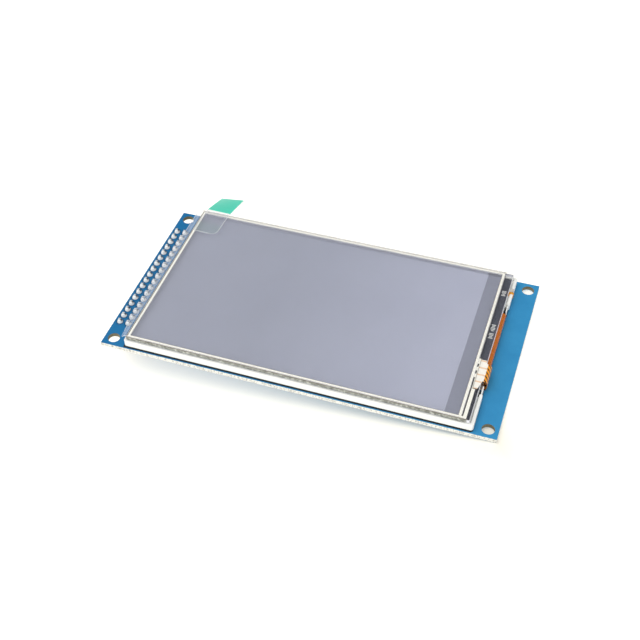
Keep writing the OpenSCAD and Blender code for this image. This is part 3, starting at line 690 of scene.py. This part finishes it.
def plan_grid(x, y, radius=0.0):
    """Plan grid over the lines x and y; each x line is shortened by a round corner's arc, r - sqrt(r^2 - (r - d)^2)."""
    near = np.clip(np.minimum(x - x[0], x[-1] - x), 0.0, radius)
    cut = radius - np.sqrt(radius ** 2 - (radius - near) ** 2)
    middle = (y[0] + y[-1]) / 2
    half = (y[-1] - y[0]) / 2
    share = ((y - middle) / half)[:, None]
    return np.broadcast_to(x, (len(y), len(x))), middle + share * (half - cut)


def rim_lines(low, high, rim, fine, parts, fine_reach=0.0):
    """Grid lines from low to high: one rim width apart at both ends, and finer over the first fine_reach."""
    inner = np.linspace(low + max(rim, fine_reach), high - rim, parts)
    near = np.linspace(low + rim, low + fine_reach, fine)[:-1] if fine_reach > rim else np.array([])
    return np.concatenate([[low, low + rim * 0.9], near, inner, [high - rim * 0.9, high]])


def rim_share(x, y, rim):
    """1 on the outermost grid lines, 0 from one rim width inwards."""
    edge = np.minimum.reduce([x - x.min(), x.max() - x, y - y.min(), y.max() - y])
    return np.clip(1.0 - edge / rim, 0.0, 1.0) ** 0.3


def turned(points, pivot, angle):
    """Points turned in plan about a pivot: the usual cosine and sine of the angle on x and y."""
    turn = np.array([[math.cos(angle), -math.sin(angle), 0], [math.sin(angle), math.cos(angle), 0], [0, 0, 1]])
    return (points - pivot) @ turn.T + pivot


def revolved(name, profile, centres, material, turns=DOME_TURNS, scale=None, nodes=()):
    """Solids of revolution: the profile (radius, height) turned round the axis over each centre, with pole points."""
    angle = np.arange(turns) * math.tau / turns
    rings = len(profile)
    ring = np.stack([np.outer(profile[:, 0], np.cos(angle)), np.outer(profile[:, 0], np.sin(angle)),
                     np.repeat(profile[:, 1:2], turns, axis=1)], axis=-1).reshape(-1, 3)
    poles = np.array([[0, 0, profile[0, 1]], [0, 0, profile[-1, 1]]])
    one = np.concatenate([ring, poles])
    turn = np.arange(turns)
    after = (turn + 1) % turns
    last = (rings - 1) * turns
    caps = [np.stack([np.full(turns, rings * turns), after, turn], axis=-1),
            np.stack([np.full(turns, rings * turns + 1), last + turn, last + after], axis=-1)]
    sides = grid_faces(rings, turns, wrap=True)
    scale = np.ones((len(centres), 3)) if scale is None else scale
    points = (one[None] * scale[:, None] + centres[:, None]).reshape(-1, 3)
    offsets = np.arange(len(centres)) * len(one)
    faces = [face + offset for offset in offsets for part in (sides, *caps) for face in part]
    return new_piece(name, points, faces, material, nodes)


def ribbons(name, paths, width, z, height, material):
    """Flat ribbons: each path's points are moved aside by half a width along the mitre of its two directions."""
    points, faces, count = [], [], 0
    for path in paths:
        line = np.array(path) * MM
        step = np.diff(line, axis=0)
        step /= np.linalg.norm(step, axis=1)[:, None]
        into, out = np.vstack([step[:1], step]), np.vstack([step, step[-1:]])
        mitre = into + out
        mitre /= (1 + (into * out).sum(axis=1))[:, None]
        side = np.stack([-mitre[:, 1], mitre[:, 0]], axis=-1) * width / 2
        rows = len(line)
        ring = np.stack([line + side, line + side * 0.8, line - side * 0.8, line - side], axis=1)
        level = np.broadcast_to(np.array([z, z + height, z + height, z])[None, :, None], (rows, 4, 1))
        points.append(np.concatenate([ring, level], axis=-1).reshape(-1, 3))
        faces += [face + count for face in grid_faces(rows, 4, wrap=True)]
        faces += [np.arange(4) + count, np.arange(4)[::-1] + count + (rows - 1) * 4]
        count += rows * 4
    return new_piece(name, np.concatenate(points), faces, material)


class MODULE_OT_board(bpy.types.Operator):
    """Board with its lacquer, routed edge and drilled hole walls"""
    bl_idname = "module.board"
    bl_label = "Circuit board"

    def execute(self, context):
        board = eased_copy("circuit_board", "solder_mask", sizes().board_edge, solder_mask(), cut_laminate(),
                           drilled_laminate(), segments=1)
        low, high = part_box("circuit_board")
        centres, upright = face_sides(board)
        inside = np.minimum.reduce([centres[:, 0] - low.x, high.x - centres[:, 0],
                                    centres[:, 1] - low.y, high.y - centres[:, 1]]) > 0.3 * MM
        board.data.polygons.foreach_set("material_index", np.where(upright, np.where(inside, 2, 1), 0).tolist())
        return {"FINISHED"}


class MODULE_OT_tracks(bpy.types.Operator):
    """Copper tracks under the lacquer, plated holes and printed outlines on the underside"""
    bl_idname = "module.tracks"
    bl_label = "Tracks and outlines"

    def execute(self, context):
        pins = pin_places()[:, :2] / MM
        inner = pins[pins[:, 0] > pins[:, 0].mean()]
        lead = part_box("touch_controller")[0].x / MM
        via = lead - 9.0
        # Paths in mm: a fan from the inner pins to a line of vias, a bus past the touch controller, and power tracks.
        fan = [[(x, y), (x + 3.0, y), (x + 4.5 + 0.04 * abs(y), y * 0.9), (via, y * 0.9)] for x, y in inner]
        bus = [[(via, y * 0.9), (lead - 6.0, y * 0.9), (lead + 14.0, end - 14.0), (8.0, end - 14.0),
                (22.0, end - 4.0), (38.2, end)] for (_, y), end in zip(inner[1:15], np.linspace(-7.2, 12.2, 14))]
        power = [[(-20.0, 24.0), (4.0, 24.0), (9.0, 19.0), (11.0, 19.0)], [(19.5, 12.0), (28.0, 12.0), (36.0, 20.0),
                 (45.5, 21.9)], [(-30.0, -19.0), (-6.0, -24.0), (30.0, -24.0), (44.0, -11.5)]]
        height = -sizes().track_height
        mask = solder_mask()
        ribbons("copper_tracks", fan + bus, sizes().track_width, 0.0, height, mask)
        ribbons("power_tracks", power, sizes().track_width * 3, 0.0, height * 1.2, mask)
        ends = [path[-1] for path in fan[::2]] + [path[3] for path in bus[::2]] + [path[0] for path in power]
        spots = np.array([(x, y, 0.0) for x, y in ends]) * MM
        ring = np.array([[0.16, 0.0], [0.34, 0.0], [0.33, -0.05], [0.17, -0.05], [0.12, -0.01]]) * MM
        revolved("plated_vias", ring, spots, tinned_metal(), turns=16)
        # An outline keeps some room round its part, and stays on the board.
        edge = plan_mm("circuit_board")[0]
        outlines = []
        for node, room in (("touch_controller", 1.1), ("voltage_regulator", 1.1), ("backlight_driver", 0.9),
                           ("power_inductor", 0.5), ("rectifier_diode", 0.6), ("header_body", 0.35)):
            low, high = plan_mm(node)
            outlines.append(box_path(np.maximum(low - room, edge + 0.25), high + room))
        ribbons("printed_outlines", outlines, sizes().legend_width, 0.0, -0.045 * MM, printed_white())
        return {"FINISHED"}


def box_path(low, high):
    """The outline of a rectangle as a path that starts and ends at the middle of its first side."""
    middle = (low[0] + high[0]) / 2
    return [(middle - 0.01, low[1]), (low[0], low[1]), (low[0], high[1]), (high[0], high[1]), (high[0], low[1]),
            (middle + 0.01, low[1])]


def pin_places():
    """Centres of the header's pins on the board, from the block that they fill and their pitch."""
    low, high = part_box("header_pins")
    x, y = (np.arange(first + PIN_WIDTH / 2, last, PIN_PITCH) for first, last in ((low.x, high.x), (low.y, high.y)))
    grid = np.stack(np.meshgrid(x, y, indexing="ij"), axis=-1).reshape(-1, 2)
    return np.column_stack([grid, np.zeros(len(grid))])


class MODULE_OT_header(bpy.types.Operator):
    """Pin header: notched black body, square pins and their solder joints"""
    bl_idname = "module.header"
    bl_label = "Pin header"

    def execute(self, context):
        eased_copy("header_body", "header_plastic", 0.06 * MM, header_plastic(), segments=1)
        eased_copy("header_pins", "pin_plating", sizes().pin_edge, pin_plating())
        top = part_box("circuit_board")[1].z
        base, neck, height = sizes().joint_width / 2, 0.3 * MM, sizes().joint_height
        # At a share s of a joint's height its radius is neck + (base - neck) * (1 - s)^0.62. A foot in the pin's hole
        # closes it below, and each joint is swollen by a few hundredths.
        share = np.linspace(0.0, 1.0, 14)
        radius = neck + (base - neck) * (1.0 - share) ** 0.62
        dome = np.column_stack([radius, top + height * share])
        foot = np.array([[0.1 * MM, top - 0.3 * MM], [0.49 * MM, top - 0.3 * MM], [0.49 * MM, top - 0.02 * MM],
                         [base * 0.995, top - 0.02 * MM]])
        rng = np.random.default_rng(SEED)
        places = pin_places()
        swell = np.column_stack([rng.uniform(0.93, 1.04, (len(places), 2)), rng.uniform(0.995, 1.005, len(places))])
        profile = np.vstack([foot, dome])
        domes = revolved("solder_domes", profile, places, solder(), scale=swell, nodes=("solder_joints",))
        # Painted shade darkens a joint's upper part on one side, 30 degrees round from +X towards +Y.
        climb = np.clip(((profile[:, 1] - top) / height - 0.36) * 5.0, 0.0, 1.0)
        angle = np.arange(DOME_TURNS) * math.tau / DOME_TURNS
        around = np.clip(np.cos(angle - math.radians(30)) * 2.4 - 0.9, 0.0, 1.0)
        crease = np.concatenate([np.outer(climb, around).ravel(), [0.0, 0.0]])
        point_values(domes, "crease", np.tile(crease, len(places)))
        plug = np.array([[0.1, 0.0], [0.49, 0.0], [0.49, 0.6]]) * MM
        revolved("solder_plugs", plug, places, solder())
        return {"FINISHED"}


class MODULE_OT_frame(bpy.types.Operator):
    """White backlight frame on its foam tape, with the light guide, films and LEDs inside"""
    bl_idname = "module.frame"
    bl_label = "Backlight frame"

    def execute(self, context):
        eased_copy("backlight_frame", "white_frame", sizes().frame_edge, frame_plastic())
        for node, material in (("mounting_tape", foam_tape()), ("reflector_sheet", reflector_foil()),
                               ("light_guide", guide_acrylic()), ("diffuser_film", diffuser_film()),
                               ("prism_film", prism_film()), ("backlight_leds", led_resin())):
            finish(node, material)
        # A strip of black foam along the front and round the right corner paints the shadow line under the frame.
        low, high = plan_mm("mounting_tape")
        shadow_path = [(low[0] - 0.1, low[1] + 1.0), (low[0] - 0.1, low[1] - 0.1), (high[0] - 0.5, low[1] - 0.1),
                 (high[0] - 0.1, low[1] + 0.3), (high[0] - 0.1, low[1] + 9.0)]
        ribbons("tape_shadow_strip", [shadow_path], 0.5 * MM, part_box("circuit_board")[1].z, 0.22 * MM, foam_tape())
        return {"FINISHED"}


class MODULE_OT_screen(bpy.types.Operator):
    """Liquid crystal cell: glass, polarisers, driver chip and the dark tape with its plain printed marks"""
    bl_idname = "module.screen"
    bl_label = "Screen"

    def execute(self, context):
        glass, polariser = cell_glass(), screen_polariser()
        for node, material in (("rear_glass", glass), ("rear_polariser", polariser), ("driver_chip", bare_silicon())):
            finish(node, material)
        eased_copy("front_glass", "cell_glass", 0.0, glass)
        eased_copy("front_polariser", "polariser", 0.0, polariser)
        eased_copy("touch_gasket", "gasket", 0.0, gasket_foam(), sink=SEAM)
        eased_copy("ledge_tape", "ledge_tape", 0.03 * MM, ledge_tape(), segments=1)
        # Three groups of bars: each group's place from the back in mm, and each bar's half length.
        x, y = plan_mm("ledge_tape")[1] - (1.05, 0.0)
        marks = [[(x - reach, y - row), (x + reach, y - row)]
                 for first, reaches in ((5.5, (0.6, 0.6, 0.35, 0.6)), (19.4, (0.6, 0.4, 0.6, 0.6, 0.35)),
                                        (22.8, (0.6, 0.6, 0.4, 0.6)))
                 for row, reach in zip(first + 0.55 * np.arange(len(reaches)), reaches)]
        ribbons("ledge_marks", marks, 0.34 * MM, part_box("ledge_tape")[1].z, 0.02 * MM, printed_white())
        return {"FINISHED"}


class MODULE_OT_touch_panel(bpy.types.Operator):
    """Resistive touch panel: ground glass, cream seal and clear film"""
    bl_idname = "module.touch_panel"
    bl_label = "Touch panel"

    def execute(self, context):
        glass = eased_copy("touch_glass", "touch_glass", sizes().glass_edge, clear_glass(), ground_glass_side(),
                           segments=1)
        upright = face_sides(glass)[1]
        glass.data.polygons.foreach_set("material_index", upright.astype(int).tolist())
        glass.modifiers["eased edge"].material = 1
        eased_copy("touch_seal", "seal_ink", 0.0, seal_ink(), sink=SEAM)
        eased_copy("touch_film", "touch_film", 0.0, touch_film())
        low, high = plan_mm("protective_film")
        low[0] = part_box("touch_glass")[0].x / MM
        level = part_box("touch_glass")[1].z
        # One line runs round the panel, and the other round three sides of the window.
        left, front, right, back = low[0] + 1.02, low[1] + 0.92, high[0] - 0.92, high[1] - 0.92
        lines = [box_path(low + (0.14, 0.04), high - (0.04, 0.04)),
                 [(left, back), (left, front), (right, front), (right, back)]]
        ribbons("bus_lines", lines, 0.13 * MM, level, 0.04 * MM, bus_print())
        return {"FINISHED"}


class MODULE_OT_flexes(bpy.types.Operator):
    """Flexible circuits of the display, the light bar and the touch panel, with their soldered ends"""
    bl_idname = "module.flexes"
    bl_label = "Flexible circuits"

    def execute(self, context):
        display = etched_flex("amber polyimide over copper", colours().amber)
        light_bar = etched_flex("golden polyimide over copper", colours().tail)
        eased_copy("display_flex", "polyimide", 0.0, display)
        eased_copy("backlight_flex", "polyimide", 0.0, light_bar)
        eased_copy("touch_tail", "tail_polyimide", 0.0, touch_tail())
        finish("flex_solder", solder())
        return {"FINISHED"}


class MODULE_OT_films(bpy.types.Operator):
    """Protective film with its free left end, clear label and green pull tab"""
    bl_idname = "module.films"
    bl_label = "Films and tab"

    def execute(self, context):
        self.cover()
        self.label_and_tab()
        return {"FINISHED"}

    def cover(self):
        """The film is level over the panel. Past its left end, over a share s of the free reach, it falls by drop * s^2
        and its front corner by curl * s^1.5 more, with a faint wave along the edge."""
        rim = sizes().rim
        low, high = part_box("protective_film")
        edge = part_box("touch_glass")[0].x
        reach = edge - low.x
        thickness, radius = 0.1 * MM, 1.2 * MM
        x = rim_lines(low.x, high.x, rim, 16, 60, fine_reach=reach + 1.0 * MM)
        x = np.sort(np.concatenate([x, high.x - radius * np.array([1.0, 0.7, 0.45, 0.3])]))
        across, along = plan_grid(x, rim_lines(low.y, high.y, rim, 2, 48), radius)
        past = np.clip((edge - across) / reach, 0.0, 1.0)
        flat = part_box("touch_film")[1].z + thickness
        drop = (high.z - low.z) - thickness
        corner = np.exp(-((along - low.y) / (4.5 * MM)) ** 2)
        wave = 0.05 * np.sin(along / (3.1 * MM))
        height = flat - drop * past ** 2 * (1.0 + wave) - sizes().film_curl * corner * past ** 1.5
        closed_sheet("cover_film", np.stack([across, along, height], axis=-1), thickness, cover_film(),
                     ("protective_film",), "cover_film", rim=rim_share(across, along, rim),
                     free=np.clip(past * 6.0, 0.0, 1.0) * (1.0 - 0.7 * past))

    def label_and_tab(self):
        """Both lie level up to the panel's back edge. Past it, at a share s of their length, they fall by
        depth * (0.9 s + 0.1 s^2), and by three tenths less at their right side. The label's right front corner is
        rounded, and both are turned a little in plan."""
        rim = sizes().rim
        low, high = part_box("pull_label")
        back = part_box("touch_film")[1].y
        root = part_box("pull_tab")[0].y + 0.4 * MM
        thickness, corner = 0.08 * MM, 2.2 * MM
        pivot = np.array([low.x, back, 0.0])

        def hung(across, along, top, angle):
            share = np.clip((along - back) / (high.y - back), 0.0, None)
            lean = 1.0 - 0.3 * (across - low.x) / (high.x - low.x)
            fall = (high.z - thickness - low.z) * (0.9 * share + 0.1 * share ** 2) * lean
            return turned(np.stack([across, along, top - fall], axis=-1), pivot, math.radians(angle))

        x = rim_lines(low.x, high.x, rim, 2, 14)
        y = np.concatenate([rim_lines(low.y, back, rim, 2, 20)[:-2], np.linspace(back, high.y - rim, 26), [high.y]])
        across, along = np.meshgrid(x, y)
        edge_share = rim_share(across, along, rim)
        into = np.clip(corner - (along - low.y), 0.0, corner)
        cut = corner - np.sqrt(corner ** 2 - into ** 2)
        across = across - cut * (across - low.x) / (high.x - low.x)
        closed_sheet("clear_label", hung(across, along, high.z, -3.0), thickness, label_film(), ("pull_label",),
                     "cover_film", rim=edge_share)
        across, along = np.meshgrid(x, np.concatenate([[root, root + rim], y[y > root + rim]]))
        closed_sheet("green_tab", hung(across, along, high.z + thickness, -1.8), thickness * 0.98, tab_film(),
                     ("pull_tab",), "green_film", rim=rim_share(across, along, rim * 0.8))


class MODULE_OT_underside(bpy.types.Operator):
    """Chips, inductor, capacitors and resistors under the board"""
    bl_idname = "module.underside"
    bl_label = "Parts under the board"

    def execute(self, context):
        resin, leads, black = chip_resin(), tinned_metal(), ferrite()
        for node in ("touch_controller", "voltage_regulator", "backlight_driver", "rectifier_diode"):
            eased_copy(node, "chip_resin", sizes().chip_edge, resin)
        for node in ("controller_leads", "regulator_leads", "driver_leads"):
            eased_copy(node, "tinned_leads", 0.0, leads)
        eased_copy("power_inductor", "ferrite", 0.1 * MM, black)
        eased_copy("ceramic_capacitors", "capacitor_ceramic", 0.04 * MM, capacitor_ceramic())
        eased_copy("chip_resistors", "resistor_glaze", 0.04 * MM, resistor_glaze())
        for node in ("capacitor_ends", "resistor_ends"):
            eased_copy(node, "tinned_leads", 0.05 * MM, leads)
        return {"FINISHED"}


class MODULE_OT_stage(bpy.types.Operator):
    """Camera, pale floor that the module rests on, and soft light"""
    bl_idname = "module.stage"
    bl_label = "Stage"

    def execute(self, context):
        stage = context.scene.module_stage
        place, target = Vector(stage.camera_place), Vector(stage.camera_target)
        camera = placed("camera", bpy.data.cameras.new("camera"))
        camera.data.sensor_width = 36.0
        camera.data.lens = stage.lens
        camera.data.shift_x = stage.shift
        camera.data.clip_start = 0.005
        camera.data.clip_end = 20.0
        camera.rotation_mode = "QUATERNION"
        camera.location = place
        camera.rotation_quaternion = (target - place).to_track_quat("-Z", "Y") @ Quaternion(
            (0, 0, 1), stage.camera_roll)
        context.scene.camera = camera
        self.floor(stage)
        self.lights(stage, context.scene)
        context.scene.view_settings.view_transform = "Standard"
        context.scene.cycles.transparent_max_bounces = 40
        return {"FINISHED"}

    def floor(self, stage):
        """The module rests on its inner row of pins and on the board's far end, so the floor's height rises with
        x along the line through both, and bends over into an equal fall past the board's end: with t = x - crest it
        is slope * (t - bend * ln(1 + exp(2 t / bend))) plus a constant. Its lines are close together at the bend."""
        pins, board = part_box("header_pins"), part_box("circuit_board")
        slope = -pins[0].z / (board[1].x - pins[1].x)
        bend = 6 * MM
        crest = board[1].x + bend
        x = np.concatenate([np.linspace(-1.2, -0.1, 8), np.linspace(-0.09, 0.2, 117), np.linspace(0.25, 1.2, 8)])
        across, along = np.meshgrid(x, np.linspace(-1.2, 1.2, 5))
        past = across - crest
        height = slope * (bend + past - bend * np.logaddexp(0.0, 2 * past / bend))
        mesh = bpy.data.meshes.new("floor")
        mesh.from_pydata(np.stack([across, along, height], axis=-1).reshape(-1, 3).tolist(), [],
                         grid_faces(*across.shape).tolist())
        smoothed(mesh)
        mesh.materials.append(lit_paper(stage.floor_glow))
        placed("floor", mesh)

    def lights(self, stage, scene):
        """White surroundings, darker behind the module, and one wide soft light over it."""
        scene.world = bpy.data.worlds.new("studio")
        scene.world.use_nodes = True
        scene.world.node_tree.nodes.clear()
        node = functools.partial(add, scene.world.node_tree)
        around = node("TexCoord").outputs["Generated"]
        toward = node("VectorMath", {0: around, 1: Vector((0.25, 0.93, 0.27))}, operation="DOT_PRODUCT")
        dim = node("MapRange", {"Value": toward.outputs["Value"], "From Min": 0.5, "From Max": 0.86,
                                "To Min": 1.0, "To Max": 0.05}, interpolation_type="SMOOTHSTEP")
        strength = node("Math", {0: dim, 1: stage.sky}, operation="MULTIPLY")
        seen = node("Mix", {0: node("LightPath").outputs["Is Camera Ray"], 2: strength, 3: 1.2})
        node("OutputWorld", {"Surface": node("Background", {"Color": "#FFFFFF", "Strength": seen})})
        data = bpy.data.lights.new("soft light", "AREA")
        data.shape = "RECTANGLE"
        data.size = data.size_y = 0.6
        data.energy = stage.key
        light = placed("soft light", data)
        light.location = Vector((-0.15, -0.08, 0.6))
        light.rotation_mode = "QUATERNION"
        light.rotation_quaternion = (-light.location).to_track_quat("-Z", "Y")


OPERATORS = (MODULE_OT_stage, MODULE_OT_board, MODULE_OT_tracks, MODULE_OT_header, MODULE_OT_frame,
             MODULE_OT_screen, MODULE_OT_touch_panel, MODULE_OT_flexes, MODULE_OT_films, MODULE_OT_underside)


class MODULE_PT_panel(bpy.types.Panel):
    """Sizes, colours and steps of the display module"""
    bl_idname = "MODULE_PT_panel"
    bl_label = "Display Module"
    bl_space_type = "VIEW_3D"
    bl_region_type = "UI"
    bl_category = "Display Module"

    def draw(self, context):
        for group in (context.scene.module_sizes, context.scene.module_colours, context.scene.module_stage):
            box = self.layout.box()
            for name in group.__annotations__:
                box.prop(group, name)
        for operator in OPERATORS:
            self.layout.operator(operator.bl_idname)


CLASSES = (ModuleSizes, ModuleColours, StageSettings, *OPERATORS, MODULE_PT_panel)


def register():
    for item in CLASSES:
        bpy.utils.register_class(item)
    bpy.types.Scene.module_sizes = bpy.props.PointerProperty(type=ModuleSizes)
    bpy.types.Scene.module_colours = bpy.props.PointerProperty(type=ModuleColours)
    bpy.types.Scene.module_stage = bpy.props.PointerProperty(type=StageSettings)


def unregister():
    del bpy.types.Scene.module_sizes
    del bpy.types.Scene.module_colours
    del bpy.types.Scene.module_stage
    for item in reversed(CLASSES):
        bpy.utils.unregister_class(item)


def main():
    register()
    for operator in OPERATORS:
        group, name = operator.bl_idname.split(".")
        getattr(getattr(bpy.ops, group), name)()


if __name__ == "__main__":
    main()
